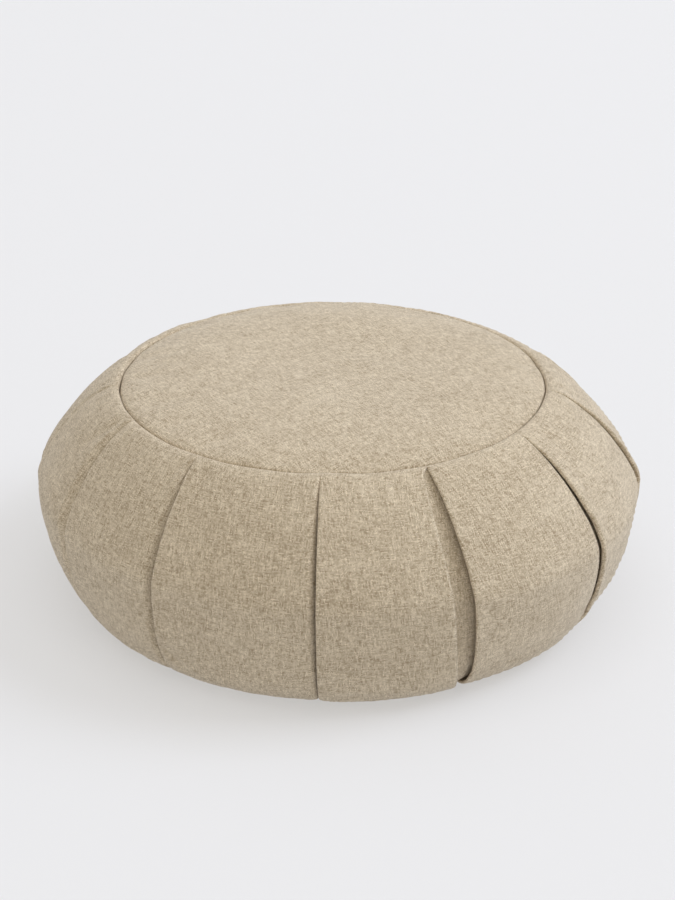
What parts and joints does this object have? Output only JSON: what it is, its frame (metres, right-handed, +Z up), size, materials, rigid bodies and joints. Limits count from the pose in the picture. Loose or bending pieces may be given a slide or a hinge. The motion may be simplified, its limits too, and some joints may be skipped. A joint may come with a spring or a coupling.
{
  "type": "floor cushion",
  "caption": "Round pleated floor cushion for sitting low: a linen zip cover over a cotton liner filled with buckwheat hulls.",
  "frame": {"origin": "middle of the underside, on the surface that the cushion lies on", "axes": "+Z up through the middle of the top panel; -Y towards the front, so the zip lies along the rear edge of the underside; +X to the right seen from the front"},
  "size_m": [0.3604, 0.3604, 0.132],
  "materials": {
    "oatmeal_linen": "matte",
    "undyed_cotton": "matte",
    "linen_coloured_thread": "satin",
    "white_cotton_thread": "matte",
    "zip_tape": "matte",
    "zip_nylon": "satin",
    "zip_metal": "satin",
    "buckwheat_hulls": "matte"
  },
  "bodies": {
    "cushion": {"cover_top_panel": "oatmeal_linen", "cover_side_band": "oatmeal_linen", "cover_bottom_panel": "oatmeal_linen", "top_seam_thread": "linen_coloured_thread", "bottom_seam_thread": "linen_coloured_thread", "zip_tape_panel_side": "zip_tape", "zip_tape_band_side": "zip_tape", "zip_stitching_panel_side": "linen_coloured_thread", "zip_stitching_band_side": "linen_coloured_thread", "zip_teeth_panel_side": "zip_nylon", "zip_teeth_band_side": "zip_nylon", "zip_end_stops": "zip_nylon", "liner_top_panel": "undyed_cotton", "liner_side_band": "undyed_cotton", "liner_bottom_panel": "undyed_cotton", "liner_top_seam_thread": "white_cotton_thread", "liner_bottom_seam_thread": "white_cotton_thread", "liner_closing_stitches": "white_cotton_thread", "buckwheat_filling": "buckwheat_hulls"},
    "zip_slider": {"zip_slider": "zip_metal"},
    "zip_pull": {"zip_pull_tab": "zip_metal"}
  },
  "joints": [
    {"name": "zip_slide", "type": "hinge", "parent": "cushion", "child": "zip_slider", "pos_m": [0, 0, 0], "axis": [0, 0, 1], "range_deg": [0, 138]},
    {"name": "pull_flip", "type": "hinge", "parent": "zip_slider", "child": "zip_pull", "pos_m": [0.11746, 0.04275, 0.0028], "axis": [-0.9397, -0.342, 0], "range_deg": [-5, 150]}
  ]
}
